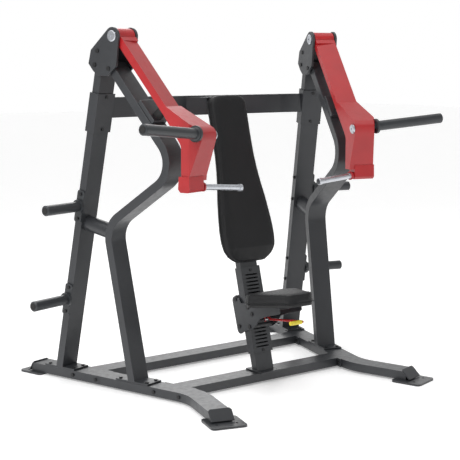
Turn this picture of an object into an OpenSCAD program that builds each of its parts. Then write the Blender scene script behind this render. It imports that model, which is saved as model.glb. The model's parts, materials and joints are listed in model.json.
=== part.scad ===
// Plate-loaded chest press machine.
// Two toed-in side frames, each an A of a straight rear upright and an S-bent front leg,
// carry a swinging press arm between a pair of pivot plates. A leaning centre column
// carries the back pad and a notched rack on which the seat carriage slides.
// Millimetres, +Z up, the user faces -Y, the machine is symmetric about X = 0.

/* [Node] */
// sub-part to draw, or all of them

/* [Frame] */
// toe-in of each side frame
toe = 16.3; // [10:0.1:22]
// distance of each side frame from the middle, measured at Y = 0
half_base = 621; // [540:1:700]
// wide side of the frame tube
tube_w = 104; // [80:1:120]
// narrow side of the frame tube
tube_d = 42; // [30:1:60]
// wall of the frame tube
wall = 4; // [2:0.5:6]
// distance the side frames stand behind the middle of the footprint
frame_y = 87.5; // [60:0.5:100]
// height of the underside of the base tubes above the floor
base_z = 10; // [8:1:20]

/* [Pivot] */
// forward position of the arm pivot in the side frame
piv_u = -8; // [-40:1:40]
// height of the arm pivot
piv_z = 1692; // [1500:1:1850]
// thickness of each pivot plate
plate_t = 12; // [8:1:16]
// radius of the pivot shaft
shaft_r = 15; // [10:0.5:20]

/* [Arms] */
// width of the press arm box section
arm_w = 108; // [80:1:120]
// radius of the weight horn
horn_r = 25; // [23:0.5:27]
// length of the weight horn past its collar
horn_len = 365; // [250:5:420]
// radius of the hand grip
grip_r = 14; // [12:0.5:20]

/* [Centre column] */
// lean of the centre column from vertical
lean = 15; // [8:0.5:22]
// thickness of the back pad foam
back_foam = 44; // [30:1:70]
// thickness of the seat foam
seat_foam = 50; // [30:1:70]
// pitch of the rack notches
notch = 18; // [12:1:30]
// number of rack notches
notches = 21; // [8:1:22]

/* [Hidden] */
$fn = 48;
base_t = base_z + tube_d;
frame_col = [0.30, 0.31, 0.32];
dark_col = [0.12, 0.12, 0.13];
red_col = [0.78, 0.16, 0.19];
steel_col = [0.80, 0.81, 0.83];
pad_col = [0.13, 0.13, 0.14];
rubber_col = [0.06, 0.06, 0.06];
yellow_col = [0.90, 0.80, 0.15];
plate_in = arm_w / 2 + 4;
plate_out = plate_in + plate_t;
st = sin(toe);
ct = cos(toe);
up_k = 0.2;
up_a = atan(up_k);
leg_top = [122 - 0.6508 * 262, 1362 + 0.7593 * 262];
leg_foot = 70;
leg_pts = [[leg_foot + 2.4, base_t - 4], [-78.6, 795], [356, 1088], leg_top];
leg_bore = [leg_pts[0] + [0.6, -3], leg_pts[1], leg_pts[2], leg_top + [-0.6508, 0.7593] * 3];
leg_r = [130, 125];
horn_at = [482, 1250];
horn_tilt = 5.4;
horn_yaw = 1;
peg_hi = [-243, 881];
peg_lo = [-336, 413];
peg_len = 218;
post_foot = [-279, base_t + 8];
rail_corner = 427;
rail_end = 323;

// ---- plane geometry ----
function unit(v) = v / norm(v);
function perp(v) = [-v[1], v[0]];
function bend(a, b, c, r, off, n) =
  let (u1 = unit(b - a), u2 = unit(c - b), s = sign(cross(u1, u2)), th = acos(u1 * u2))
  let (p = b - u1 * r * tan(th / 2), m = p + perp(u1) * r * s, q = r - off * s)
  [for (i = [0 : n]) m + q * (-perp(u1) * s * cos(th * i / n) + u1 * sin(th * i / n))];
function edge(p, r, off, n) =
  let (k = len(p) - 1)
  concat(
    [p[0] + perp(unit(p[1] - p[0])) * off],
    [for (i = [1 : k - 1]) each bend(p[i - 1], p[i], p[i + 1], r[i - 1], off, n)],
    [p[k] + perp(unit(p[k] - p[k - 1])) * off]
  );
function flip(p) = [for (i = [len(p) - 1 : -1 : 0]) p[i]];
function ribbon(p, r, d, n = 10) = concat(edge(p, r, d / 2, n), flip(edge(p, r, -d / 2, n)));
function side_xy(u, m) = [-half_base + u * st + m * ct, -u * ct + m * st];
function arc(c, r, a0, a1, n) = [for (i = [0 : n]) c + r * [cos(a0 + (a1 - a0) * i / n), sin(a0 + (a1 - a0) * i / n)]];

// ---- placing ----
// local frame of the left side: x forward along the frame, y inward, z up
module left_side() {
  translate([-half_base, 0, 0]) rotate([0, 0, toe - 90]) children();
}
module right_side() {
  mirror([1, 0, 0]) left_side() children();
}
module both() {
  left_side() children();
  right_side() children();
}
// extrude an outline drawn in (forward, up) between two inward distances
module slab(m0, m1) {
  translate([0, m1, 0]) rotate([90, 0, 0]) linear_extrude(m1 - m0) children();
}
module rounded(x, y, r) {
  square([x - 2 * r, y], center = true);
  square([x, y - 2 * r], center = true);
  for (i = [-1, 1]) for (j = [-1, 1]) translate([i * (x / 2 - r), j * (y / 2 - r)]) circle(r);
}
// hexagon head bolt along +z, head below z = 0
module bolt(r, len, head = 6) {
  translate([0, 0, -head]) cylinder(r = r * 1.85, h = head, $fn = 6);
  translate([0, 0, -0.5]) cylinder(r = r, h = len + 0.5, $fn = 24);
}
// leaning frame of the centre column: origin at its foot, z along the column, y to the rear
module column() {
  translate([0, post_foot[0], post_foot[1]]) rotate([-lean, 0, 0]) children();
}

// ---- base ----
rail_path = [
  side_xy(-600, 0),
  side_xy(rail_corner, 0),
  side_xy(rail_corner, 0) + rail_end * [-st, -ct]
];
module rail_solid(w, z0, z1, n = 10) {
  translate([0, 0, z0]) linear_extrude(z1 - z0) polygon(ribbon(rail_path, [260], w, n));
}
// slanted cut at both ends of a rail
module rail_ends() {
  translate([-half_base, 0, 0]) rotate([0, 0, toe - 90]) translate([-600, 0, base_z + tube_d / 2])
    rotate([0, 30, 0]) translate([-100, -100, -60]) cube([100, 200, 120]);
  front_end() rotate([0, -45, 0]) translate([0, -100, -80]) cube([100, 200, 160]);
}
// frame at the front end of the left rail: x forward, y inward
module front_end() {
  p = rail_path[2];
  translate([p[0], p[1], base_z + tube_d / 2]) rotate([0, 0, -90 - toe]) children();
}
module rail() {
  difference() {
    rail_solid(tube_w, base_z, base_t);
    rail_solid(tube_w - 2 * wall, base_z + wall, base_t - wall);
    rail_ends();
    for (u = [-313, -161, 210, 362])
      left_side() translate([u, -tube_w / 2 - 1, base_z + 21]) rotate([-90, 0, 0]) cylinder(r = 5.1, h = tube_w + 2);
    for (u = [-136, 389])
      left_side() translate([u - 2.5, -tube_w / 2 - 1, base_z + 5]) cube([5, 2, 32]);
  }
}
module rail_left() {
  color(frame_col) rail();
}
module rail_right() {
  color(frame_col) mirror([1, 0, 0]) rail();
}
module end_cap(h) {
  difference() {
    slab(-56, 56) polygon([[0, -h / 2], [7, -h / 2], [7, h / 2], [0, h / 2]]);
    for (y = [-56, 56])
      translate([-1, y, h / 2]) rotate([45, 0, 0]) translate([0, -7, -7]) cube([9, 14, 14]);
  }
}
module rail_caps() {
  color(frame_col) for (s = [0, 1]) mirror([s, 0, 0]) {
    front_end() rotate([0, -45, 0]) translate([0.3, 0, 4.5]) end_cap(66);
    left_side() translate([-600, 0, base_z + tube_d / 2]) rotate([0, 30, 0])
      translate([-7.3, 0, 3]) end_cap(52);
  }
}
module foot(e, g, x = 158, y = 168) {
  difference() {
    translate([e, g, 0]) linear_extrude(base_z - 0.3) rounded(x, y, 20);
    for (y = [-47, 47])
      translate([e + 33 * sign(e), g + y, -1]) cylinder(r = 7, h = base_z + 2);
  }
}
module foot_plates() {
  color(dark_col) for (s = [0, 1]) mirror([s, 0, 0]) {
    translate([0, 0, -base_z - tube_d / 2]) front_end() foot(16, 8);
    left_side() translate([-592, 0, 0]) foot(-1, 0, 148, 154);
  }
}
// tube running along X with an end plate bolted to each rail
module cross_tube(y, u) {
  cut = tube_w / 2;
  difference() {
    union() {
      translate([-700, y - tube_w / 2, base_z]) cube([1400, tube_w, tube_d]);
      both() translate([u - 95, cut, base_z]) cube([190, 8, tube_d]);
    }
    translate([-700, y - tube_w / 2 + wall, base_z + wall]) cube([1400, tube_w - 2 * wall, tube_d - 2 * wall]);
    both() translate([u - 300, cut - 400 + 0.3, base_z - 1]) cube([600, 400, tube_d + 2]);
    both() for (k = [-76, 76])
      translate([u + k, cut - 1, base_z + 21]) rotate([-90, 0, 0]) cylinder(r = 5.1, h = 10);
  }
}
module front_cross_tube() {
  color(frame_col) cross_tube(-266, 286);
}
module rear_cross_tube() {
  color(frame_col) cross_tube(246, -237);
}
module cross_tube_bolts() {
  color(dark_col) both() for (u = [-313, -161, 210, 362])
    translate([u, -tube_w / 2 - 0.9, base_z + 21]) rotate([-90, 0, 0]) {
      bolt(5, tube_w + 9.6, 5);
      translate([0, 0, tube_w + 9.5]) cylinder(r = 9, h = 7, $fn = 6);
    }
}

// ---- side frames ----
up_pts = [[-203 + (base_t + 8.3 - 1076) * up_k, base_t + 8.3], [-203 + (1648 - 1076) * up_k, 1648]];
module upright() {
  a = up_pts[0];
  b = up_pts[1];
  h = tube_d / 2 / cos(up_a);
  g = h - wall;
  difference() {
    union() {
      slab(-tube_w / 2, tube_w / 2) polygon([a + [-h, 0], a + [h, 0], b + [h, 0], b + [-h, 0]]);
      translate([a[0] - 100, -tube_w / 2, base_t + 0.3]) cube([200, tube_w, 8.2]);
    }
    slab(-tube_w / 2 + wall, tube_w / 2 - wall)
      polygon([a + [-g, 1], a + [g, 1], b + [g + up_k, 1], b + [-g + up_k, 1]]);
    for (k = [-82, 82]) for (m = [-32, 32])
      translate([a[0] + k, m, base_t - 1]) cylinder(r = 5.2, h = 12);
    for (p = [peg_hi, peg_lo]) peg_place(p) for (k = [-62, 62])
      translate([0, k, -tube_w - 2]) cylinder(r = 5.1, h = 2 * tube_w);
    for (p = [plate_holes[0], plate_holes[1]])
      translate([p[0], -60, p[1]]) rotate([-90, 0, 0]) cylinder(r = 6.1, h = 120);
    for (z = [-78, 78])
      sleeve_place() translate([0, 0, z]) rotate([0, 90, 0]) cylinder(r = 5.1, h = 60);
  }
}
module upright_left() {
  color(frame_col) left_side() upright();
}
module upright_right() {
  color(frame_col) right_side() upright();
}
module leg() {
  difference() {
    union() {
      difference() {
        slab(-tube_w / 2, tube_w / 2) polygon(ribbon(leg_pts, leg_r, tube_d, 12));
        slab(-tube_w / 2 + wall, tube_w / 2 - wall) polygon(ribbon(leg_bore, leg_r, tube_d - 2 * wall, 12));
      }
      translate([leg_foot - 100, -tube_w / 2, base_t + 0.3]) cube([202, tube_w, 8.2]);
    }
    translate([-200, -100, -50]) cube([600, 200, 50 + base_t + 0.3]);
    for (k = [-82, 84]) for (m = [-32, 32])
      translate([leg_foot + k, m, base_t - 1]) cylinder(r = 5.2, h = 12);
    translate([plate_holes[2][0], -60, plate_holes[2][1]]) rotate([-90, 0, 0]) cylinder(r = 6.1, h = 120);
  }
}
module leg_left() {
  color(frame_col) left_side() leg();
}
module leg_right() {
  color(frame_col) right_side() leg();
}
module flange_bolts() {
  color(dark_col) both() for (u = [up_pts[0][0] - 82, up_pts[0][0] + 82, leg_foot - 82, leg_foot + 84])
    for (m = [-32, 32]) translate([u, m, base_t + 8.8]) mirror([0, 0, 1]) bolt(5, 8, 5);
}
// round tube between upright and leg, square to the upright
module brace() {
  difference() {
    translate([-152, 0, 777]) rotate([0, 90 + up_a, 0]) difference() {
      cylinder(r = 38, h = 220, center = true);
      cylinder(r = 34, h = 230, center = true);
    }
    slab(-60, 60) polygon([[-400, 500], [-203 - 576 * up_k + 21.8, 500], [-203 + 24 * up_k + 21.8, 1100], [-400, 1100]]);
    slab(-60, 60) polygon(concat(edge(leg_pts, leg_r, 21.3, 12), [[400, 1500], [400, 60]]));
  }
}
module brace_left() {
  color(frame_col) left_side() brace();
}
module brace_right() {
  color(frame_col) right_side() brace();
}

// ---- upper cross tube with a sleeve round each upright ----
sleeve_z = 1335;
module sleeve_place() {
  translate([-203 + (sleeve_z - 1076) * up_k, 0, sleeve_z]) rotate([0, up_a, 0]) children();
}
cross_path = [
  side_xy(-151, tube_w / 2 + 1),
  [-468, 180],
  [468, 180],
  [-side_xy(-151, tube_w / 2 + 1)[0], side_xy(-151, tube_w / 2 + 1)[1]]
];
module upper_cross_tube() {
  color(frame_col) difference() {
    union() {
      translate([0, 0, 1307]) linear_extrude(98) polygon(ribbon(cross_path, [150, 150], tube_d, 8));
      both() sleeve_place() cube([tube_d + 14, tube_w + 14, 188], center = true);
    }
    translate([0, 0, 1307 + wall]) linear_extrude(98 - 2 * wall)
      polygon(ribbon(cross_path, [150, 150], tube_d - 2 * wall, 8));
    both() sleeve_place() cube([tube_d + 0.6, tube_w + 0.6, 200], center = true);
    both() for (z = [-78, 78])
      sleeve_place() translate([0, 0, z]) rotate([0, 90, 0]) cylinder(r = 5.1, h = 60);
  }
}
module sleeve_bolts() {
  color(dark_col) both() for (z = [-78, 78])
    sleeve_place() translate([tube_d / 2 + 7.3, 0, z]) rotate([0, -90, 0]) bolt(5, 16, 4);
}

// ---- pivot plates, shaft and caps ----
plate_pts = concat(
  arc([piv_u, piv_z], 41, 0, 130, 12),
  [[-142, 1629], [-158, 1566], [-130, 1532], [-102, 1510], [-40, 1508], [16, 1553]]
);
plate_holes = [[-100, 1625], [-118, 1560], [-32, 1542]];
module pivot_plate(m0) {
  difference() {
    slab(m0, m0 + plate_t) polygon(plate_pts);
    translate([piv_u, m0 - 1, piv_z]) rotate([-90, 0, 0]) cylinder(r = shaft_r + 0.05, h = plate_t + 2);
    for (p = plate_holes)
      translate([p[0], m0 - 1, p[1]]) rotate([-90, 0, 0]) cylinder(r = 6.1, h = plate_t + 2);
  }
}
// spacer washers that fill the gap between tube and plate
module plate_spacers(m0, m1) {
  for (p = plate_holes)
    translate([p[0], m0, p[1]]) rotate([-90, 0, 0]) difference() {
      cylinder(r = 13, h = m1 - m0);
      translate([0, 0, -1]) cylinder(r = 6.1, h = m1 - m0 + 2);
    }
}
module pivot_plate_left_outer() {
  color(frame_col) left_side() {
    pivot_plate(-plate_out);
    plate_spacers(-plate_in - 1, -tube_w / 2 - 0.3);
  }
}
module pivot_plate_left_inner() {
  color(frame_col) left_side() {
    pivot_plate(plate_in);
    plate_spacers(tube_w / 2 + 0.3, plate_in + 1);
  }
}
module pivot_plate_right_outer() {
  color(frame_col) right_side() {
    pivot_plate(-plate_out);
    plate_spacers(-plate_in - 1, -tube_w / 2 - 0.3);
  }
}
module pivot_plate_right_inner() {
  color(frame_col) right_side() {
    pivot_plate(plate_in);
    plate_spacers(tube_w / 2 + 0.3, plate_in + 1);
  }
}
module plate_bolts() {
  color(dark_col) both() for (p = plate_holes)
    translate([p[0], -plate_out - 0.3, p[1]]) rotate([-90, 0, 0]) {
      bolt(6, 2 * plate_out + 1, 4);
      translate([0, 0, 2 * plate_out + 0.6]) cylinder(r = 11, h = 4, $fn = 6);
    }
}
module pivot_shaft() {
  translate([piv_u, -plate_out, piv_z]) rotate([-90, 0, 0]) cylinder(r = shaft_r, h = 2 * plate_out);
}
module pivot_shaft_left() {
  color(steel_col) left_side() pivot_shaft();
}
module pivot_shaft_right() {
  color(steel_col) right_side() pivot_shaft();
}
// domed cap with a socket
module cap(r, h) {
  difference() {
    union() {
      cylinder(r = r, h = h - 3);
      translate([0, 0, h - 3]) cylinder(r1 = r, r2 = r - 4, h = 3);
    }
    translate([0, 0, h - 4]) cylinder(r = 6, h = 5, $fn = 6);
  }
}
module pivot_caps() {
  color(steel_col) both() {
    translate([piv_u, -plate_out - 0.3, piv_z]) rotate([90, 0, 0]) cap(26, 6);
    translate([piv_u, plate_out + 0.3, piv_z]) rotate([-90, 0, 0]) cap(26, 6);
  }
}

// ---- rest stops on the front legs ----
leg_up = [-0.6508, 0.7593];
leg_out = [0.7593, 0.6508];
function on_leg(s, h) = [122, 1362] + s * leg_up + (tube_d / 2 + h) * leg_out;
module stop_blocks() {
  color(frame_col) both() difference() {
    slab(-50, 50) polygon([on_leg(-112, 0.3), on_leg(16, 0.3), on_leg(16, 20), on_leg(8, 22), on_leg(-112, 22)]);
    slab(-11, 11) polygon([on_leg(stop_s - 15, 10), on_leg(stop_s + 15, 10), on_leg(stop_s + 15, 30), on_leg(stop_s - 15, 30)]);
  }
}
module stop_bumper() {
  p = on_leg(stop_s, 10.3);
  translate([p[0], 0, p[1]]) rotate([0, atan2(leg_out[0], leg_out[1]), 0]) {
    translate([-14.7, -10.7, 0]) cube([29.4, 21.4, 12.5]);
    translate([0, 0, 12]) cylinder(r = 24, h = rest_gap - 28.6);
    translate([0, 0, rest_gap - 16.7]) cylinder(r1 = 24, r2 = 19, h = 5);
  }
}
// place of the stop along the leg, and the gap from the leg to the arm resting on it
stop_s = -82;
rest_gap = ([188, 1447] - on_leg(0, 0)) * leg_out;
module stop_bumper_left() {
  color(rubber_col) left_side() stop_bumper();
}
module stop_bumper_right() {
  color(rubber_col) right_side() stop_bumper();
}

// ---- storage pegs ----
module peg_place(p) {
  translate([p[0], -tube_w / 2 - 0.3, p[1]]) rotate([0, up_a, 0]) rotate([90, 0, 0]) children();
}
module peg() {
  difference() {
    linear_extrude(8) rounded(44, 158, 10);
    for (k = [-62, 62]) translate([0, k, -1]) cylinder(r = 5.1, h = 10);
  }
  translate([0, 0, 7.5]) cylinder(r = 34, h = 13);
  translate([0, 0, 20]) cylinder(r = horn_r, h = peg_len - 4);
  translate([0, 0, 20 + peg_len - 4]) cylinder(r1 = horn_r, r2 = horn_r - 4, h = 4);
}
module peg_upper_left() {
  color(frame_col) left_side() peg_place(peg_hi) peg();
}
module peg_lower_left() {
  color(frame_col) left_side() peg_place(peg_lo) peg();
}
module peg_upper_right() {
  color(frame_col) right_side() peg_place(peg_hi) peg();
}
module peg_lower_right() {
  color(frame_col) right_side() peg_place(peg_lo) peg();
}
module peg_bolts() {
  color(dark_col) both() for (p = [peg_hi, peg_lo]) peg_place(p) for (k = [-62, 62])
    translate([0, k, 8.3]) mirror([0, 0, 1]) {
      bolt(5, tube_w + 9, 5);
      translate([0, 0, tube_w + 8.9]) cylinder(r = 9, h = 7, $fn = 6);
    }
}

// ---- press arms ----
// outline of the swinging box section from the pivot to the nose and down to the bottom
upper_pts = [[33, 1688], [299, 1373], [330, 1358], [330, 1280], [188, 1447], [-20, 1692]];
knee_pts = [
  [299, 1373], [470, 1289], [490, 1278], [502, 1262], [504, 1240], [500, 1220], [449, 1064],
  [447, 1040], [398, 1040], [398, 1190], [392, 1206], [377, 1225], [289, 1328]
];
// the knee flares outward to this half width, and the lower part narrows on its inner side
knee_w = 76;
low_in = 27;
module knee() {
  difference() {
    slab(-knee_w, arm_w / 2) polygon(knee_pts);
    translate([289, -arm_w / 2, 900]) rotate([0, 0, -7.9]) translate([-20, -60, 0]) cube([180, 60, 600]);
    translate([449, -knee_w, 900]) rotate([0, 0, 24.5]) translate([0, -60, 0]) cube([120, 60, 600]);
    translate([300, arm_w / 2, 1236]) rotate([atan((arm_w / 2 - low_in) / 174), 0, 0])
      translate([0, 0, -230]) cube([250, 60, 230]);
  }
}
module arm() {
  difference() {
    union() {
      difference() {
        slab(-arm_w / 2, arm_w / 2) polygon(upper_pts);
        // the front face falls back toward the inner side
        translate([33, -arm_w / 2, 1688]) rotate([0, 49.8, 0]) rotate([-5.3, 0, 0])
          translate([22, -5, 0]) cube([400, 140, 60]);
      }
      knee();
      translate([piv_u, -arm_w / 2, piv_z]) rotate([-90, 0, 0]) cylinder(r = 36, h = arm_w);
      arm_foot();
    }
    translate([piv_u, -arm_w, piv_z]) rotate([-90, 0, 0]) cylinder(r = shaft_r + 4.05, h = 2 * arm_w);
    horn_place() cylinder(r = 12.05, h = 220, center = true);
    horn_place() translate([0, 0, horn_seat - 0.3]) cylinder(r = 37.5, h = 40);
    grip_place() translate([0, 0, -40.5]) cylinder(r = 10.05, h = 100);
  }
}
module arm_foot() {
  slab(-knee_w - 4, low_in) polygon([[392, 1062], [388, 1004], [400, 990], [442, 990], [454, 1002], [451, 1062]]);
  grip_place() translate([0, 0, -30]) cylinder(r = 20, h = 6);
  grip_place() translate([0, 0, -26]) cylinder(r = 16, h = 22);
  grip_place() translate([0, 0, -7]) cylinder(r = 21, h = 7);
}
// grip axis in the local frame of the left side, z toward the tip, origin on the collar face
grip_a = [436, 48, 1008];
grip_b = [501, 251, 992];
module grip_place() {
  g = grip_b - grip_a;
  translate(grip_a) rotate([0, 0, atan2(g[1], g[0])]) rotate([0, acos(g[2] / norm(g)), 0]) children();
}
module press_arm_left() {
  color(red_col) left_side() arm();
}
module press_arm_right() {
  color(red_col) right_side() arm();
}
module bushings() {
  for (s = [-1, 1]) translate([piv_u, 0, piv_z]) rotate([-90 * s, 0, 0]) difference() {
    union() {
      translate([0, 0, arm_w / 2 - 36]) cylinder(r = shaft_r + 4, h = 39.6);
      translate([0, 0, arm_w / 2 + 0.2]) cylinder(r = 26, h = 3.4);
    }
    cylinder(r = shaft_r + 0.06, h = 80);
  }
}
module arm_bushings_left() {
  color(steel_col) left_side() bushings();
}
module arm_bushings_right() {
  color(steel_col) right_side() bushings();
}
// horn axis: z points outward, away from the arm
module horn_place() {
  translate([horn_at[0], 0, horn_at[1]]) rotate([0, 0, horn_yaw]) rotate([90 - horn_tilt, 0, 0]) children();
}
horn_seat = 66;
module horn() {
  horn_place() {
    translate([0, 0, -arm_w / 2 - 2]) cylinder(r = 12, h = arm_w / 2 + horn_seat + 4);
    translate([0, 0, horn_seat]) cylinder(r = 37, h = 11);
    translate([0, 0, horn_seat + 10.5]) cylinder(r1 = 32, r2 = horn_r, h = 6);
    translate([0, 0, horn_seat + 16]) cylinder(r = horn_r, h = horn_len - 11);
    translate([0, 0, horn_seat + horn_len + 4.5]) cylinder(r1 = horn_r, r2 = horn_r - 5, h = 5);
  }
}
module horn_left() {
  color(frame_col) left_side() horn();
}
module horn_right() {
  color(frame_col) right_side() horn();
}
module horn_cap() {
  horn_place() translate([0, 0, -arm_w / 2 - 2.6])
    mirror([0, 0, 1]) cap(23, 9);
}
module horn_cap_left() {
  color(steel_col) left_side() horn_cap();
}
module horn_cap_right() {
  color(steel_col) right_side() horn_cap();
}
module grip() {
  grip_place() {
    translate([0, 0, -40]) cylinder(r = 10, h = 60);
    translate([0, 0, 0.3]) cylinder(r = 16, h = 10);
    translate([0, 0, 10]) cylinder(r = grip_r, h = 188);
    translate([0, 0, 197]) cylinder(r = 17, h = 15);
    translate([0, 0, 211.9]) cylinder(r1 = 17, r2 = 14, h = 3);
  }
}
module grip_left() {
  color(steel_col) left_side() grip();
}
module grip_right() {
  color(steel_col) right_side() grip();
}

// ---- centre column ----
post_len = 1368;
module centre_post() {
  color(frame_col) difference() {
    union() {
      column() translate([-tube_w / 2, -tube_d / 2, -40]) cube([tube_w, tube_d, post_len + 40]);
      translate([-tube_w / 2 - 8, post_foot[0] - 62, base_t + 0.3]) cube([tube_w + 16, 124, 8.2]);
    }
    column() translate([-tube_w / 2 + wall, -tube_d / 2 + wall, 10])
      cube([tube_w - 2 * wall, tube_d - 2 * wall, post_len + 100]);
    translate([-200, -600, -40]) cube([400, 600, 40 + base_t + 0.3]);
    for (x = [-48, 48]) for (y = [-46, 46])
      translate([x, post_foot[0] + y, base_t - 1]) cylinder(r = 5.2, h = 12);
    column() translate([-36, -tube_d / 2 - 1, rack_at + 22]) cube([72, wall + 2, rack_len - 52]);
    column() for (z = [rack_at + 10, rack_at + rack_len - 18, 700, 1180])
      translate([0, 0, z]) rotate([90, 0, 0]) cylinder(r = 4.1, h = 100, center = true);
  }
}
// short box joining the head of the column to the upper cross tube
module post_head() {
  color(frame_col) difference() {
    translate([0, 0, 1312]) linear_extrude(86)
      polygon([[-52, 40], [52, 40], [64, 90], [150, 158.7], [-150, 158.7], [-64, 90]]);
    column() translate([-100, -200 + tube_d / 2 + 0.3, 900]) cube([200, 200, 800]);
    translate([0, 0, 1318]) linear_extrude(74) polygon([[-46, 60], [46, 60], [57, 93], [132, 152], [-132, 152], [-57, 93]]);
  }
}
rack_len = (notches - 1) * notch + 70;
rack_at = 84;
module rack_channel() {
  t = 6;
  color(frame_col) column() difference() {
    translate([-tube_w / 2 - 8, -tube_d / 2 - t - 0.3, rack_at]) cube([tube_w + 16, tube_d + t - 0.2, rack_len]);
    translate([-tube_w / 2 - 0.3, -tube_d / 2 - 0.3, rack_at - 1]) cube([tube_w + 0.6, tube_d + 10, rack_len + 2]);
    for (i = [0 : notches - 1])
      translate([-38, -tube_d / 2 - t - 2, rack_at + 25 + i * notch]) cube([76, t + 4, 7]);
    for (z = [rack_at + 10, rack_at + rack_len - 18])
      translate([0, 0, z]) rotate([90, 0, 0]) cylinder(r = 4.1, h = 100);
  }
}
module rack_bolts() {
  color(dark_col) column() for (z = [rack_at + 10, rack_at + rack_len - 18])
    translate([0, -tube_d / 2 - 6.6, z]) rotate([-90, 0, 0]) bolt(4, 16, 4);
}
// outline of the back pad in (x, distance up the column)
back_half = [
  [0, -24], [70, -24], [102, -16], [129, 4], [148, 36], [157, 82], [157, 140], [151, 205], [139, 300],
  [126, 375], [117, 445], [111, 520], [109, 620], [110, 720], [111, 776], [104, 804], [86, 824], [58, 832], [0, 834]
];
back_pts = concat(back_half, [for (i = [len(back_half) - 2 : -1 : 1]) [-back_half[i][0], back_half[i][1]]]);
back_at = 562;
back_scale = 0.985;
module back_shape(t0, t1, grow) {
  column() translate([0, -tube_d / 2 - 0.3 - t0, back_at]) rotate([90, 0, 0]) linear_extrude(t1 - t0) offset(delta = grow)
    polygon([for (p = back_pts) [p[0], p[1] * back_scale]]);
}
module back_board() {
  color(dark_col) difference() {
    back_shape(0, 12, -6);
    column() for (z = [700, 1180])
      translate([0, 0, z]) rotate([90, 0, 0]) cylinder(r = 4.1, h = 40);
  }
}
// the lower end of the pad slopes back toward its board
slope_a = 18;
module back_pad() {
  color(pad_col) difference() {
    back_shape(12.4, 12.4 + back_foam, 0);
    column() translate([-200, -tube_d / 2 - 12.7 - back_foam, back_at + 46]) rotate([slope_a, 0, 0])
      translate([0, -60, -200]) cube([400, 60, 200]);
  }
}

// ---- seat carriage ----
// outline of a side plate in (forward from the rack face, up the column from the carriage middle)
side_pts = concat(
  arc([-74, 84], 22, 180, 70, 6),
  [[-40, 90], [-30, 66], [36, 62], [92, 76], [258, 97], [268, 86], [262, -12], [250, -17], [156, -19], [96, -26],
   [63, -54], [27, -68], [-20, -71]],
  arc([-68, -60], 24, -60, -180, 6)
);
car_z = 272;
side_in = tube_w / 2 + 12.5;
side_t = 6;
module carriage_place() {
  column() translate([0, -tube_d / 2 - 6.3, car_z]) children();
}
// axis across the carriage at a forward and up position
module car_axis(p) {
  carriage_place() translate([0, -p[0], p[1]]) rotate([0, 90, 0]) children();
}
// the seat is level to a few degrees while the column leans
seat_tilt = 6.5;
module seat_place() {
  translate([0, -388, 416]) rotate([-seat_tilt, 0, 0]) children();
}
// forward place, place up the column and radius of each roller
rear_face = -tube_d - 6.6;
roller_pos = [[20.3, 40, 20], [12.3, -55, 12], [rear_face - 20, 90, 20], [rear_face - 20, -46, 20]];
lever_pivot = [46, 4];
module seat_carriage() {
  color(frame_col) difference() {
    union() {
      for (s = [-1, 1]) carriage_place() translate([s * (side_in + side_t / 2) + side_t / 2, 0, 0])
        rotate([0, 0, -90]) rotate([90, 0, 0]) linear_extrude(side_t) polygon(side_pts);
      carriage_place() translate([-side_in - 1, -150, 20]) cube([2 * side_in + 2, 8, 56]);
      carriage_place() translate([-side_in - 1, -262, 4]) cube([2 * side_in + 2, 8, 70]);
      carriage_place() translate([-side_in - 1, -40, latch_up - 10]) cube([2 * side_in + 2, 12, 18]);
    }
    carriage_place() translate([-9.5, -60, latch_up - 3]) cube([19, 60, 6]);
    for (p = concat(roller_pos, [lever_pivot])) car_axis(p) cylinder(r = 6.1, h = 200, center = true);
    seat_place() translate([-200, -300, -12.3]) cube([400, 400, 200]);
  }
}
module roller(p) {
  car_axis(p) difference() {
    cylinder(r = p[2], h = 2 * side_in - 4, center = true);
    cylinder(r = 6.08, h = 300, center = true);
  }
}
module roller_front_upper() {
  color(rubber_col) roller(roller_pos[0]);
}
module roller_front_lower() {
  color(rubber_col) roller(roller_pos[1]);
}
module roller_rear_upper() {
  color(rubber_col) roller(roller_pos[2]);
}
module roller_rear_lower() {
  color(rubber_col) roller(roller_pos[3]);
}
module roller_bolts() {
  color(dark_col) for (p = roller_pos) axle(p);
}
// bolt through both side plates with a nut
module axle(p) {
  car_axis(p) translate([0, 0, -side_in - side_t - 0.3]) {
    bolt(6, 2 * (side_in + side_t) + 1, 4);
    translate([0, 0, 2 * (side_in + side_t) + 0.6]) cylinder(r = 10, h = 4, $fn = 6);
  }
}
// outline of the seat, wide at the back and narrow in front, y to the rear
seat_pts = concat(
  arc([40, -150], 46, -90, -14, 6), arc([92, 28], 66, -14, 90, 7),
  arc([-92, 28], 66, 90, 194, 7), arc([-40, -150], 46, 194, 270, 6)
);
module seat_board() {
  color(dark_col) seat_place() translate([0, 0, -12]) linear_extrude(12) offset(delta = -6) polygon(seat_pts);
}
module seat_pad() {
  color(pad_col) seat_place() translate([0, 0, 0.4]) linear_extrude(seat_foam) polygon(seat_pts);
}
// blade that locks the carriage in a notch, shown drawn clear of the rack by the lever
latch_up = -33.5;
latch_gap = 0.5;
module latch_blade() {
  color(steel_col) carriage_place() difference() {
    union() {
      translate([-34, -20 - latch_gap, latch_up - 2.5]) cube([68, 20, 5]);
      translate([-9, -64, latch_up - 2.5]) cube([18, 51, 5]);
    }
    translate([-4, -58, latch_up - 4]) cube([8, 12, 8]);
  }
}
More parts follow.
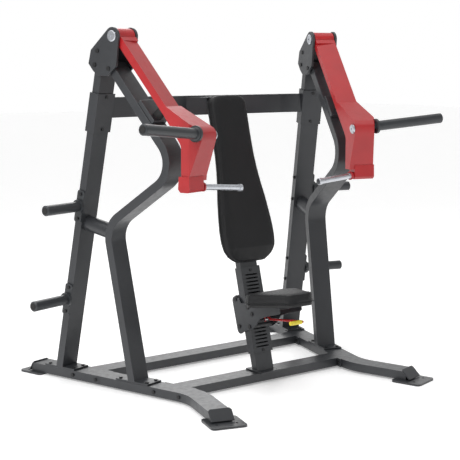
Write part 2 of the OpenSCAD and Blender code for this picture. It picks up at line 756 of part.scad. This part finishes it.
// lever with a boss on its pivot, a heel in front of the blade and a bent rod to the tip
lever_tip = [0, -288, -72];
module lever_frame() {
  carriage_place() translate([0, -lever_pivot[0], lever_pivot[1]]) children();
}
module seat_lever() {
  color(red_col) lever_frame() difference() {
    union() {
      rotate([0, 90, 0]) cylinder(r = 12, h = 90, center = true);
      translate([-3, -9, -46]) cube([6, 6, 42]);
      rod([0, -8, -2], [0, -50, -38]);
      rod([0, -50, -38], lever_tip);
      rod(lever_tip, lever_tip + [-66, 0, 0]);
    }
    rotate([0, 90, 0]) cylinder(r = 6.06, h = 300, center = true);
  }
}
// round rod between two points with a knuckle at its end
module rod(a, b, r = 6) {
  v = b - a;
  translate(a) rotate([0, acos(v[2] / norm(v)), atan2(v[1], v[0])]) cylinder(r = r, h = norm(v));
  translate(b) sphere(r = r + 0.6);
}
module lever_grip() {
  color(yellow_col) lever_frame() translate(lever_tip + [-74, 0, 0]) rotate([0, 90, 0]) difference() {
    cylinder(r = 10, h = 66);
    translate([0, 0, 2]) cylinder(r = 6.3, h = 70);
  }
}
module lever_pin() {
  color(dark_col) axle(lever_pivot);
}

// ---- drawing ----
module placed() {
  translate([0, frame_y, 0]) children();
}
placed() rail_left();
placed() rail_right();
placed() rail_caps();
placed() foot_plates();
placed() front_cross_tube();
placed() rear_cross_tube();
placed() cross_tube_bolts();
placed() upright_left();
placed() upright_right();
placed() leg_left();
placed() leg_right();
placed() flange_bolts();
placed() brace_left();
placed() brace_right();
placed() upper_cross_tube();
placed() sleeve_bolts();
placed() pivot_plate_left_outer();
placed() pivot_plate_left_inner();
placed() pivot_plate_right_outer();
placed() pivot_plate_right_inner();
placed() plate_bolts();
placed() pivot_shaft_left();
placed() pivot_shaft_right();
placed() pivot_caps();
placed() stop_blocks();
placed() stop_bumper_left();
placed() stop_bumper_right();
placed() peg_upper_left();
placed() peg_lower_left();
placed() peg_upper_right();
placed() peg_lower_right();
placed() peg_bolts();
placed() press_arm_left();
placed() press_arm_right();
placed() arm_bushings_left();
placed() arm_bushings_right();
placed() horn_left();
placed() horn_right();
placed() horn_cap_left();
placed() horn_cap_right();
placed() grip_left();
placed() grip_right();
placed() centre_post();
placed() post_head();
placed() rack_channel();
placed() rack_bolts();
placed() back_board();
placed() back_pad();
placed() seat_carriage();
placed() roller_front_upper();
placed() roller_front_lower();
placed() roller_rear_upper();
placed() roller_rear_lower();
placed() roller_bolts();
placed() seat_board();
placed() seat_pad();
placed() latch_blade();
placed() seat_lever();
placed() lever_grip();
placed() lever_pin();
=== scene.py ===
"""Looks of a plate-loaded chest press machine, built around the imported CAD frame."""
import json
import math

import bmesh
import bpy
from mathutils import Matrix, Vector

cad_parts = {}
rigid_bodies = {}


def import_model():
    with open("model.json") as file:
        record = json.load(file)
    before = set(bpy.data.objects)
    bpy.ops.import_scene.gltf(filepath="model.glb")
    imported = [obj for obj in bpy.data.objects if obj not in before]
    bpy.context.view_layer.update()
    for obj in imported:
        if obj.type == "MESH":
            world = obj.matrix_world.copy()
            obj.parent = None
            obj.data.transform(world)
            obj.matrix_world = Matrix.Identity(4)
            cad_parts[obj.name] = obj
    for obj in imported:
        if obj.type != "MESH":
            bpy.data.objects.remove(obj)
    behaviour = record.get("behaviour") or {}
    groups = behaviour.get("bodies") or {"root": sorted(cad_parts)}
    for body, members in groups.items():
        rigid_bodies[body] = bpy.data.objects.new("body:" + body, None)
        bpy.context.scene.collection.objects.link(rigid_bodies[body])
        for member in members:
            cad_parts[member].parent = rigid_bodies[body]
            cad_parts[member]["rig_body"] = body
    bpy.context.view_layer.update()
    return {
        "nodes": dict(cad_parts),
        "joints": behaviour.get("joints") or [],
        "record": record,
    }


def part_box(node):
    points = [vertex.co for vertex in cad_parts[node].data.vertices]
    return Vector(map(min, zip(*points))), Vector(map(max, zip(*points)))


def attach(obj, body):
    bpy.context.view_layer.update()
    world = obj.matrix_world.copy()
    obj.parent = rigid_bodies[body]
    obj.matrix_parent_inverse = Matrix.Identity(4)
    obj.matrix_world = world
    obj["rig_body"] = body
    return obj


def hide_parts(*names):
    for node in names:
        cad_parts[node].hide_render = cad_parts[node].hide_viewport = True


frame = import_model()
NODES = frame["nodes"]
BODY_OF = {n: o["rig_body"] for n, o in NODES.items()}
SLOT_OF = {s["node"]: s["material_slot"] for s in frame["record"]["subparts"]}
JOINTS = {j["name"]: j for j in frame["joints"]}
SCENE = bpy.context.scene
MM = 0.001
# metres within which two corners are one, and the bend up to which two faces are one
WELD = 2e-6
NEARLY_FLAT = math.radians(0.4)


# ---------------------------------------------------------------- helpers
def centre(node):
    low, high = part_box(node)
    return (low + high) / 2


def add(name, mesh, body, material, parent_nodes=()):
    """Links a mesh as a piece that rides on a body and material."""
    piece = bpy.data.objects.new(name, mesh)
    SCENE.collection.objects.link(piece)
    mesh.materials.clear()
    mesh.materials.append(material)
    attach(piece, body)
    if parent_nodes:
        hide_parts(*parent_nodes)
    return piece


def baked(obj, name):
    """The mesh of an object with its modifiers applied."""
    bpy.context.view_layer.update()
    graph = bpy.context.evaluated_depsgraph_get()
    mesh = bpy.data.meshes.new_from_object(obj.evaluated_get(graph), depsgraph=graph)
    mesh.name = name
    return mesh


def scratch(name, mesh):
    obj = bpy.data.objects.new(name, mesh)
    SCENE.collection.objects.link(obj)
    return obj


def drop(obj):
    mesh = obj.data
    bpy.data.objects.remove(obj)
    if mesh.users == 0:
        bpy.data.meshes.remove(mesh)


def clean_copy(node):
    """A copy of a CAD node's mesh as one welded body with its flat faces joined."""
    work = bmesh.new()
    work.from_mesh(NODES[node].data)
    bmesh.ops.remove_doubles(work, verts=work.verts, dist=WELD)
    bmesh.ops.dissolve_limit(
        work, angle_limit=NEARLY_FLAT, verts=work.verts, edges=work.edges
    )
    bmesh.ops.recalc_face_normals(work, faces=work.faces)
    return work


# ---------------------------------------------------------------- materials
def shader(name, color, roughness, metallic=0.0):
    """A material with a Principled shader, object coordinates, and its tree's parts."""
    mat = bpy.data.materials.new(name)
    mat.use_nodes = True
    tree = mat.node_tree
    bsdf = tree.nodes["Principled BSDF"]
    bsdf.inputs["Base Color"].default_value = (*color, 1)
    bsdf.inputs["Roughness"].default_value = roughness
    bsdf.inputs["Metallic"].default_value = metallic
    place = tree.nodes.new("ShaderNodeTexCoord")
    return mat, tree, bsdf, place.outputs["Object"]


def noise(tree, place, scale, detail=2.0, stretch=None):
    tex = tree.nodes.new("ShaderNodeTexNoise")
    tex.inputs["Scale"].default_value = scale
    tex.inputs["Detail"].default_value = detail
    if stretch:
        mapping = tree.nodes.new("ShaderNodeMapping")
        mapping.inputs["Scale"].default_value = stretch
        tree.links.new(place, mapping.inputs["Vector"])
        place = mapping.outputs["Vector"]
    tree.links.new(place, tex.inputs["Vector"])
    return tex.outputs["Fac"]


def ramp(tree, value, low, high, start=0.3, end=0.7):
    """A colour ramp from low to high, for numbers or colours."""
    node = tree.nodes.new("ShaderNodeValToRGB")
    for stop, place, v in zip(node.color_ramp.elements, (start, end), (low, high)):
        stop.position = place
        stop.color = (*v, 1) if hasattr(v, "__len__") else (v, v, v, 1)
    tree.links.new(value, node.inputs["Fac"])
    return node.outputs["Color"]


def bump(tree, bsdf, height, distance, strength=1.0):
    node = tree.nodes.new("ShaderNodeBump")
    node.inputs["Distance"].default_value = distance
    node.inputs["Strength"].default_value = strength
    tree.links.new(height, node.inputs["Height"])
    before = bsdf.inputs["Normal"].links
    if before:
        tree.links.new(before[0].from_socket, node.inputs["Normal"])
    tree.links.new(node.outputs["Normal"], bsdf.inputs["Normal"])


def shade_of(color, factor):
    return tuple(min(1.0, c * factor) for c in color)


def powder_coat(name, color, roughness, coat=0.12, grain=1.0):
    """Baked powder paint: orange peel, fine grit, and faint drift of tone and gloss."""
    mat, tree, bsdf, place = shader(name, color, roughness)
    drift = noise(tree, place, 5.0, 3.0)
    tree.links.new(
        ramp(tree, drift, shade_of(color, 0.88), shade_of(color, 1.12)),
        bsdf.inputs["Base Color"],
    )
    gloss = noise(tree, place, 40.0, 3.0)
    tree.links.new(
        ramp(tree, gloss, roughness - 0.05, roughness + 0.07), bsdf.inputs["Roughness"]
    )
    bump(tree, bsdf, noise(tree, place, 420.0, 2.0), 0.00012 * grain)
    bump(tree, bsdf, noise(tree, place, 1900.0, 1.0), 0.00005 * grain)
    bsdf.inputs["Coat Weight"].default_value = coat
    bsdf.inputs["Coat Roughness"].default_value = 0.25
    return mat


def brushed(name, color, roughness, stretch):
    """Satin metal with fine lines along one direction and small handling marks."""
    mat, tree, bsdf, place = shader(name, color, roughness, 1.0)
    lines = noise(tree, place, 60.0, 3.0, stretch)
    tree.links.new(
        ramp(tree, lines, roughness - 0.08, roughness + 0.1), bsdf.inputs["Roughness"]
    )
    tree.links.new(
        ramp(tree, noise(tree, place, 25.0, 3.0), shade_of(color, 0.9), color),
        bsdf.inputs["Base Color"],
    )
    bump(tree, bsdf, lines, 0.00004)
    return mat


def vinyl(name, color):
    """Upholstery vinyl: pebbled grain, soft sheen and slightly worn high spots."""
    mat, tree, bsdf, place = shader(name, color, 0.5)
    cells = tree.nodes.new("ShaderNodeTexVoronoi")
    cells.feature = "DISTANCE_TO_EDGE"
    cells.inputs["Scale"].default_value = 520.0
    wobble = tree.nodes.new("ShaderNodeMixRGB")
    wobble.inputs["Fac"].default_value = 0.02
    tree.links.new(place, wobble.inputs["Color1"])
    tree.links.new(noise(tree, place, 130.0, 3.0), wobble.inputs["Color2"])
    tree.links.new(wobble.outputs["Color"], cells.inputs["Vector"])
    grain = ramp(tree, cells.outputs["Distance"], 0.0, 1.0, 0.0, 0.22)
    bump(tree, bsdf, grain, 0.0002, 0.8)
    bump(tree, bsdf, noise(tree, place, 45.0, 4.0), 0.0006, 0.5)
    tree.links.new(ramp(tree, grain, 0.62, 0.44, 0.0, 1.0), bsdf.inputs["Roughness"])
    tree.links.new(
        ramp(tree, noise(tree, place, 9.0, 4.0), shade_of(color, 0.8), shade_of(color, 1.3)),
        bsdf.inputs["Base Color"],
    )
    bsdf.inputs["Specular IOR Level"].default_value = 0.38
    bsdf.inputs["Sheen Weight"].default_value = 0.03
    bsdf.inputs["Sheen Roughness"].default_value = 0.4
    return mat


def moulded(name, color, roughness):
    """Moulded plastic or rubber with a spark-eroded grain and faint mottling."""
    mat, tree, bsdf, place = shader(name, color, roughness)
    bump(tree, bsdf, noise(tree, place, 700.0, 3.0), 0.0002)
    tree.links.new(
        ramp(tree, noise(tree, place, 30.0, 3.0), shade_of(color, 0.8), shade_of(color, 1.15)),
        bsdf.inputs["Base Color"],
    )
    tree.links.new(
        ramp(tree, noise(tree, place, 90.0, 2.0), roughness - 0.06, roughness + 0.06),
        bsdf.inputs["Roughness"],
    )
    return mat


def thread(name, color):
    """Sewing thread, twisted along its length."""
    mat, tree, bsdf, place = shader(name, color, 0.75)
    bump(tree, bsdf, noise(tree, place, 1500.0, 2.0), 0.0002)
    tree.links.new(
        ramp(tree, noise(tree, place, 300.0, 2.0), shade_of(color, 0.7), shade_of(color, 1.3)),
        bsdf.inputs["Base Color"],
    )
    return mat


MATERIALS = {
    "graphite_paint": powder_coat("graphite_powder_coat", (0.030, 0.032, 0.036), 0.38),
    "peg_paint": powder_coat("dark_powder_coat", (0.028, 0.031, 0.035), 0.36),
    "red_paint": powder_coat("red_powder_coat", (0.40, 0.010, 0.013), 0.34, 0.25),
    "satin_steel": brushed("satin_steel", (0.60, 0.62, 0.66), 0.3, (1.0, 14.0, 14.0)),
    "bright_steel": brushed("ground_steel", (0.62, 0.62, 0.64), 0.25, (1.0, 14.0, 14.0)),
    "bronze": brushed("sintered_bronze", (0.55, 0.38, 0.18), 0.4, (4.0, 4.0, 4.0)),
    "upholstery": vinyl("black_vinyl", (0.0040, 0.0042, 0.0052)),
    "board": moulded("black_board", (0.012, 0.012, 0.013), 0.55),
    "rubber": moulded("matt_rubber", (0.018, 0.018, 0.018), 0.8),
    "nylon": moulded("black_nylon", (0.03, 0.03, 0.032), 0.5),
    "dark_fasteners": powder_coat("black_oxide", (0.008, 0.008, 0.009), 0.4, 0.0, 0.5),
    "yellow_grip": moulded("yellow_moulding", (0.80, 0.66, 0.05), 0.42),
}
THREAD = thread("seam_thread", (0.02, 0.02, 0.022))


# ---------------------------------------------------------------- steel pieces
SHORTEST_ROLLED = 6 * MM
ROLLED_CORNER = math.radians(25)
ROLL_STEPS = 3
SHARP_CORNER = math.radians(38)


def flat_sided(mesh, name):
    """Smooth shading that keeps flat faces flat and corners above 38 degrees sharp."""
    mesh.shade_smooth()
    mesh.set_sharp_from_angle(angle=SHARP_CORNER)
    obj = scratch(name + "_flat", mesh)
    even = obj.modifiers.new("even", "WEIGHTED_NORMAL")
    even.keep_sharp = True
    even.weight = 100
    final = baked(obj, name)
    drop(obj)
    return final


def rounded(node, radius):
    """The CAD node with its long edges rolled to a radius, as formed steel has."""
    work = clean_copy(node)
    weight = work.edges.layers.float.new("bevel_weight_edge")
    for edge in work.edges:
        long_enough = edge.calc_length() > SHORTEST_ROLLED
        if long_enough and len(edge.link_faces) == 2:
            edge[weight] = float(edge.calc_face_angle(0.0) > ROLLED_CORNER)
    mesh = bpy.data.meshes.new(node + "_rolled")
    work.to_mesh(mesh)
    work.free()
    obj = scratch(node + "_scratch", mesh)
    roll = obj.modifiers.new("roll", "BEVEL")
    roll.limit_method = "WEIGHT"
    roll.width = radius
    roll.segments = ROLL_STEPS
    roll.use_clamp_overlap = True
    final = baked(obj, node + "_rolled")
    drop(obj)
    final = flat_sided(final, node + "_rolled")
    add(
        node + "_rolled", final, BODY_OF[node],
        MATERIALS[SLOT_OF[node]], [node],
    )


ROLLED = {
    7 * MM: ["upright_left", "upright_right", "leg_left", "leg_right", "centre_post"],
    6 * MM: ["rail_left", "rail_right", "front_cross_tube", "rear_cross_tube", "upper_cross_tube"],
    5 * MM: ["press_arm_left", "press_arm_right"],
    3 * MM: ["stop_blocks", "post_head", "rail_caps"],
    1.6 * MM: [
        "foot_plates", "rack_channel", "seat_carriage",
        "pivot_plate_left_outer", "pivot_plate_left_inner",
        "pivot_plate_right_outer", "pivot_plate_right_inner",
    ],
}


# ---------------------------------------------------------------- cushions
VOXEL = 5 * MM
PRESSURE = 4.0
STRETCH_STIFFNESS = 12
BEND_STIFFNESS = 0.4
MOST_SWELL = 3 * MM
CLOTH_FRAMES = 20
# share of the thickness, from the board up, that the cloth may not move
HELD_SHARE = 0.2
RELAX_ROUNDS = 3
LOOP_POINTS = 160
WELT_RADIUS = 2.2 * MM
WELT_ABOVE_BOARD = 4 * MM
STITCH_ABOVE_WELT = 6 * MM
STITCH_LENGTH = 4.2 * MM
STITCH_RADIUS = 0.55 * MM
STITCH_OUT = 0.6 * MM
BEAD_SIDES = 8
# how far the upholstery lies inside the block's outline, and the welt inside that
PAD_SLACK = 1 * MM
WELT_IN = 0.5 * MM
# the back pad's lower end falls away at this slope, over this height
PAD_SLOPE = math.tan(math.radians(18))
PAD_RISE = 70 * MM
SEAT_TILT = math.radians(6.5)


def local_frame(node, normal):
    """A matrix whose z is the cushion's outward normal and y runs up its length."""
    z = Vector(normal).normalized()
    x = Vector((1, 0, 0))
    y = z.cross(x).normalized()
    turn = Matrix((x, y, z)).transposed().to_4x4()
    return Matrix.Translation(centre(node)) @ turn


def outline_of(work):
    """The corner points of the flat back face of a cushion block, in order."""
    flat = [f for f in work.faces if f.normal.z < -0.98]
    face = max(flat, key=lambda f: f.calc_area())
    return [v.co.copy() for v in face.verts]


def smooth_loop(points, count):
    """A closed curve through the points, with evenly spaced samples."""
    n = len(points)
    dense = []
    for i in range(n):
        a, b, c, d = (points[(i + k - 1) % n] for k in range(4))
        for s in range(8):
            t = s / 8
            dense.append(
                0.5 * (2 * b + (c - a) * t + (2 * a - 5 * b + 4 * c - d) * t * t
                       + (3 * b - a - 3 * c + d) * t ** 3)
            )
    total = [0.0]
    for i, p in enumerate(dense):
        total.append(total[-1] + (dense[(i + 1) % len(dense)] - p).length)
    out, j = [], 0
    for k in range(count):
        want = total[-1] * k / count
        while total[j + 1] < want:
            j += 1
        share = (want - total[j]) / max(total[j + 1] - total[j], 1e-9)
        out.append(dense[j].lerp(dense[(j + 1) % len(dense)], share))
    return out


def inset_loop(points, depth):
    """The loop moved inward, in its own plane."""
    n = len(points)
    area = sum(
        points[i].x * points[(i + 1) % n].y - points[(i + 1) % n].x * points[i].y for i in range(n)
    )
    turn = 1 if area > 0 else -1
    out = []
    for i, p in enumerate(points):
        along = (points[(i + 1) % n] - points[i - 1]).normalized()
        out.append(p + Vector((-along.y, along.x, 0)) * depth * turn)
    return out


def lofted(loops, name):
    """A closed skin through rings of points, capped with fans at both ends."""
    work = bmesh.new()
    rings = [[work.verts.new(p) for p in loop] for loop in loops]
    n = len(rings[0])
    for a, b in zip(rings, rings[1:]):
        for i in range(n):
            work.faces.new((a[i], a[(i + 1) % n], b[(i + 1) % n], b[i]))
    work.faces.new(list(reversed(rings[0])))
    work.faces.new(rings[-1])
    bmesh.ops.recalc_face_normals(work, faces=work.faces)
    mesh = bpy.data.meshes.new(name)
    work.to_mesh(mesh)
    work.free()
    return mesh


def inflate(mesh, name, pinned):
    """Remeshes a cushion, blows it up as cloth, and caps how far each point moves."""
    obj = scratch(name + "_sim", mesh)
    even = obj.modifiers.new("even", "REMESH")
    even.mode = "VOXEL"
    even.voxel_size = VOXEL
    grid = baked(obj, name + "_grid")
    drop(obj)
    start = [v.co.copy() for v in grid.vertices]
    obj = scratch(name + "_sim", grid)
    hold = obj.vertex_groups.new(name="hold")
    hold.add([i for i, p in enumerate(start) if pinned(p)], 1.0, "REPLACE")
    cloth = obj.modifiers.new("cloth", "CLOTH")
    cloth.settings.use_pressure = True
    cloth.settings.uniform_pressure_force = PRESSURE
    cloth.settings.vertex_group_mass = "hold"
    cloth.settings.tension_stiffness = STRETCH_STIFFNESS
    cloth.settings.compression_stiffness = STRETCH_STIFFNESS
    cloth.settings.bending_stiffness = BEND_STIFFNESS
    cloth.settings.effector_weights.gravity = 0
    cloth.point_cache.frame_start = 1
    cloth.point_cache.frame_end = CLOTH_FRAMES
    for step in range(1, CLOTH_FRAMES + 1):
        SCENE.frame_set(step)
    final = baked(obj, name)
    drop(obj)
    SCENE.frame_set(1)
    for vertex, rest in zip(final.vertices, start):
        move = vertex.co - rest
        if move.length > MOST_SWELL:
            vertex.co = rest + move * (MOST_SWELL / move.length)
    return final


def relax(mesh, name):
    """Smooths out the voxel steps and adds one subdivision."""
    obj = scratch(name + "_relax", mesh)
    soft = obj.modifiers.new("soft", "SMOOTH")
    soft.iterations = RELAX_ROUNDS
    soft.factor = 0.5
    fine = obj.modifiers.new("fine", "SUBSURF")
    fine.levels = fine.render_levels = 1
    final = baked(obj, name)
    drop(obj)
    final.shade_smooth()
    return final


def tube_along(points, radius, name):
    """A closed round bead along a loop of points."""
    work = bmesh.new()
    n = len(points)
    rings = []
    for i, p in enumerate(points):
        along = (points[(i + 1) % n] - points[i - 1]).normalized()
        side = along.cross(Vector((0, 0, 1))).normalized()
        up = side.cross(along)
        rings.append([
            work.verts.new(p + (side * math.cos(a) + up * math.sin(a)) * radius)
            for a in (2 * math.pi * k / BEAD_SIDES for k in range(BEAD_SIDES))
        ])
    for i in range(n):
        a, b = rings[i], rings[(i + 1) % n]
        for k in range(BEAD_SIDES):
            after = (k + 1) % BEAD_SIDES
            work.faces.new((a[k], a[after], b[after], b[k]))
    bmesh.ops.recalc_face_normals(work, faces=work.faces)
    mesh = bpy.data.meshes.new(name)
    work.to_mesh(mesh)
    work.free()
    mesh.shade_smooth()
    return mesh


def stitches(points, name):
    """Short raised thread stitches along a loop of points."""
    work = bmesh.new()
    n = len(points)
    size = Matrix.Diagonal((STITCH_LENGTH / 2, STITCH_RADIUS, STITCH_RADIUS, 1))
    for i, p in enumerate(points):
        along = (points[(i + 1) % n] - points[i - 1]).normalized()
        turn = along.to_track_quat("X", "Z").to_matrix().to_4x4()
        bmesh.ops.create_icosphere(
            work, subdivisions=1, radius=1.0,
            matrix=Matrix.Translation(p) @ turn @ size,
        )
    mesh = bpy.data.meshes.new(name)
    work.to_mesh(mesh)
    work.free()
    mesh.shade_smooth()
    return mesh


def cushion(node, normal, edge, crown, fall=None):
    """An upholstered pad in the place of a CAD block: crowned face, sewn edge and welt."""
    to_world = local_frame(node, normal)
    work = clean_copy(node)
    bmesh.ops.transform(work, matrix=to_world.inverted(), verts=work.verts)
    low = min(v.co.z for v in work.verts)
    high = max(v.co.z for v in work.verts)
    corners = outline_of(work)
    work.free()
    loop = [Vector((p.x, p.y, 0)) for p in smooth_loop(corners, LOOP_POINTS)]
    thick = high - low
    loops = []
    for depth, height in [
        (PAD_SLACK, 0.0), (PAD_SLACK, 0.45), (PAD_SLACK, 1 - edge / thick),
    ] + [
        (PAD_SLACK + edge * (1 - math.cos(a)), 1 - edge / thick * (1 - math.sin(a)))
        for a in (math.radians(18 * k) for k in range(1, 6))
    ]:
        ring = inset_loop(loop, depth)
        loops.append([p + Vector((0, 0, low + (thick - crown) * height)) for p in ring])
    mesh = lofted(loops, node + "_form")
    hold_below = low + thick * HELD_SHARE
    swollen = inflate(mesh, node + "_cushion", lambda p: p.z < hold_below)
    final = relax(swollen, node + "_cushion")
    for vertex in final.vertices:
        vertex.co.z = max(vertex.co.z, low)
        if fall:
            vertex.co.z -= fall(vertex.co, low, high)
    final.transform(to_world)
    pad = add(
        node + "_cushion", final, BODY_OF[node],
        MATERIALS["upholstery"], [node],
    )
    seam_z = low + WELT_ABOVE_BOARD
    welt_loop = [p + Vector((0, 0, seam_z)) for p in inset_loop(loop, PAD_SLACK + WELT_IN)]
    if fall:
        welt_loop = [p - Vector((0, 0, fall(p, low, high))) for p in welt_loop]
    welt = tube_along(welt_loop, WELT_RADIUS, node + "_welt")
    welt.transform(to_world)
    add(node + "_welt", welt, BODY_OF[node], MATERIALS["upholstery"])
    row = [p + Vector((0, 0, STITCH_ABOVE_WELT)) for p in welt_loop]
    row = inset_loop(row, -STITCH_OUT)
    sewn = stitches(row, node + "_stitches")
    sewn.transform(to_world)
    add(node + "_stitches", sewn, BODY_OF[node], THREAD)


# ---------------------------------------------------------------- ends of horns and pegs
# radius and height of the plug's outline, in millimetres
PLUG_RIM = [(0, 0.2), (12, 0.2), (15, 0.2), (16, 1.2), (15, 2.2), (12.5, 2.2), (11.5, 1.0), (0, 1.0)]
# length of the chamfered nose past the straight part
HORN_NOSE = 4.5 * MM
PEG_NOSE = 4 * MM
TURNED_SIDES = 40


def lathe(profile, place, name):
    """A closed turned piece from (radius, height) points, both ends on the axis."""
    work = bmesh.new()
    rings = []
    for radius, height in profile:
        if radius == 0:
            rings.append([work.verts.new((0, 0, height))] * TURNED_SIDES)
        else:
            turns = (2 * math.pi * k / TURNED_SIDES for k in range(TURNED_SIDES))
            rings.append([
                work.verts.new((radius * math.cos(a), radius * math.sin(a), height)) for a in turns
            ])
    for a, b in zip(rings, rings[1:]):
        for k in range(TURNED_SIDES):
            after = (k + 1) % TURNED_SIDES
            corners = [a[k], a[after], b[after], b[k]]
            work.faces.new(list(dict.fromkeys(corners)))
    bmesh.ops.recalc_face_normals(work, faces=work.faces)
    mesh = bpy.data.meshes.new(name)
    work.to_mesh(mesh)
    work.free()
    mesh.transform(place)
    mesh.shade_smooth()
    mesh.set_sharp_from_angle(angle=SHARP_CORNER)
    return mesh


def plug_with_painted_shade(mount, node, past):
    """A plug with a raised rim on the flat end of a horn or a peg; its near-black face is painted
    shade standing for the hollow tube end.
    """
    axis = Vector(mount["axis"]).normalized()
    tip = Vector(mount["pos_m"]) + axis * (mount["dims"]["length_mm"] * MM / 2 + past)
    turn = axis.to_track_quat("Z", "Y").to_matrix().to_4x4()
    place = Matrix.Translation(tip) @ turn
    # the plug's near-black rubber face is painted shade of a hollow end; its raised rim is real
    # shape
    mesh = lathe([(r * MM, h * MM) for r, h in PLUG_RIM], place, node + "_plug_painted_shade")
    add(node + "_plug_painted_shade", mesh, BODY_OF[node], MATERIALS["rubber"])


# ---------------------------------------------------------------- camera and stage
AIM_HEIGHT = 0.729
AIM_BEHIND_PIVOT = -7.7 * MM
BEARING = math.radians(37.28)
DROP = math.radians(7.96)
DISTANCE = 6.0
SENSOR_MM = 36.0
LENS_MM = 92.23043
# sideways and upward, as shares of the frame's width
SHIFT = (0.0020652, -0.001087)
# brightness of the surround in front of and behind the machine, and of the floor and sun
FRONT_SKY = 0.42
BACK_SKY = 1.0
FLOOR_GLOW = 0.27
NOON_POWER = 0.75


def make_camera():
    """The studio camera, in front of the machine to its right-hand side, aimed below the pivots."""
    pivot = (centre("pivot_shaft_left") + centre("pivot_shaft_right")) / 2
    aim = Vector((0, pivot.y + AIM_BEHIND_PIVOT, AIM_HEIGHT))
    back = Vector((
        -math.sin(BEARING) * math.cos(DROP), -math.cos(BEARING) * math.cos(DROP), math.sin(DROP),
    ))
    lens = bpy.data.cameras.new("camera")
    lens.sensor_width = SENSOR_MM
    lens.lens = LENS_MM
    lens.shift_x, lens.shift_y = SHIFT
    camera = bpy.data.objects.new("camera", lens)
    camera.location = aim + back * DISTANCE
    camera.rotation_euler = back.to_track_quat("Z", "Y").to_euler()
    SCENE.collection.objects.link(camera)
    SCENE.camera = camera
    return aim


def area_light(name, place, target, size, power):
    light = bpy.data.lights.new(name, "AREA")
    light.shape = "RECTANGLE"
    light.size, light.size_y = size
    light.energy = power
    obj = bpy.data.objects.new(name, light)
    obj.location = place
    obj.rotation_euler = (Vector(place) - Vector(target)).to_track_quat("Z", "Y").to_euler()
    SCENE.collection.objects.link(obj)


def make_stage(aim):
    """Pale floor, white surround and soft boxes."""
    SCENE.view_settings.view_transform = "Standard"
    world = bpy.data.worlds.new("surround")
    SCENE.world = world
    world.use_nodes = True
    tree = world.node_tree
    heading = tree.nodes.new("ShaderNodeTexCoord").outputs["Generated"]
    behind = tree.nodes.new("ShaderNodeVectorMath")
    behind.operation = "DOT_PRODUCT"
    behind.inputs[1].default_value = (math.sin(BEARING), math.cos(BEARING), 0)
    tree.links.new(heading, behind.inputs[0])
    tree.links.new(
        ramp(tree, behind.outputs["Value"], FRONT_SKY, BACK_SKY, 0.45, 0.85),
        tree.nodes["Background"].inputs["Color"],
    )
    bpy.ops.mesh.primitive_plane_add(size=60, location=(0, 0, 0))
    floor = bpy.context.object
    floor.name = "studio_floor"
    mat, tree, bsdf, place = shader("pale_floor", (0.93, 0.93, 0.93), 0.6)
    tree.links.new(
        ramp(tree, noise(tree, place, 3.0), (0.92, 0.92, 0.92), (0.95, 0.95, 0.95)),
        bsdf.inputs["Base Color"],
    )
    bsdf.inputs["Emission Color"].default_value = (1, 1, 1, 1)
    bsdf.inputs["Emission Strength"].default_value = FLOOR_GLOW
    floor.data.materials.append(mat)
    area_light("key", (-4.6, -1.2, 3.4), aim, (2.0, 2.6), 120)
    area_light("fill", (3.2, -5.4, 2.2), aim, (1.6, 2.6), 12)
    area_light("top", (0.2, -0.4, 4.6), aim, (4.0, 3.0), 40)
    noon = bpy.data.lights.new("noon", "SUN")
    noon.energy = NOON_POWER
    noon.angle = math.radians(60)
    sky = bpy.data.objects.new("noon", noon)
    sky.rotation_euler = Vector((-0.25, 0.35, 1)).to_track_quat("Z", "Y").to_euler()
    SCENE.collection.objects.link(sky)
    area_light("rim", (2.6, 4.2, 3.2), aim, (2.0, 3.0), 40)


# ---------------------------------------------------------------- building
aim_point = make_camera()
make_stage(aim_point)

for name, obj in NODES.items():
    obj.data.materials.clear()
    obj.data.materials.append(MATERIALS[SLOT_OF[name]])

for roll_radius, names in ROLLED.items():
    for name in names:
        rounded(name, roll_radius)

lean_up = Vector(JOINTS["seat_height_slide"]["axis"]).normalized()
lean_out = Vector((1, 0, 0)).cross(lean_up).normalized()
if lean_out.y > 0:
    lean_out = -lean_out

for fitting in frame["record"]["mounts"]:
    words = fitting["name"].split("_")
    if fitting["name"].endswith("weight_horn"):
        plug_with_painted_shade(fitting, "horn_" + words[0], HORN_NOSE)
    elif fitting["name"].endswith("storage_peg"):
        plug_with_painted_shade(fitting, "peg_" + words[1] + "_" + words[0], PEG_NOSE)

back_low, back_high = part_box("back_pad")
back_reach = (back_high - back_low).z / 2 / lean_up.z


def lower_fall(p, low, high):
    """The lower end of the back pad's face slopes back towards its board."""
    below = max(0.0, PAD_RISE - back_reach - p.y)
    share = max(0.0, (p.z - low) / (high - low))
    return PAD_SLOPE * below * share


cushion("back_pad", lean_out, edge=13 * MM, crown=0.5 * MM, fall=lower_fall)
seat_out = Vector((0, math.sin(SEAT_TILT), math.cos(SEAT_TILT)))
cushion("seat_pad", seat_out, edge=7 * MM, crown=1.5 * MM)
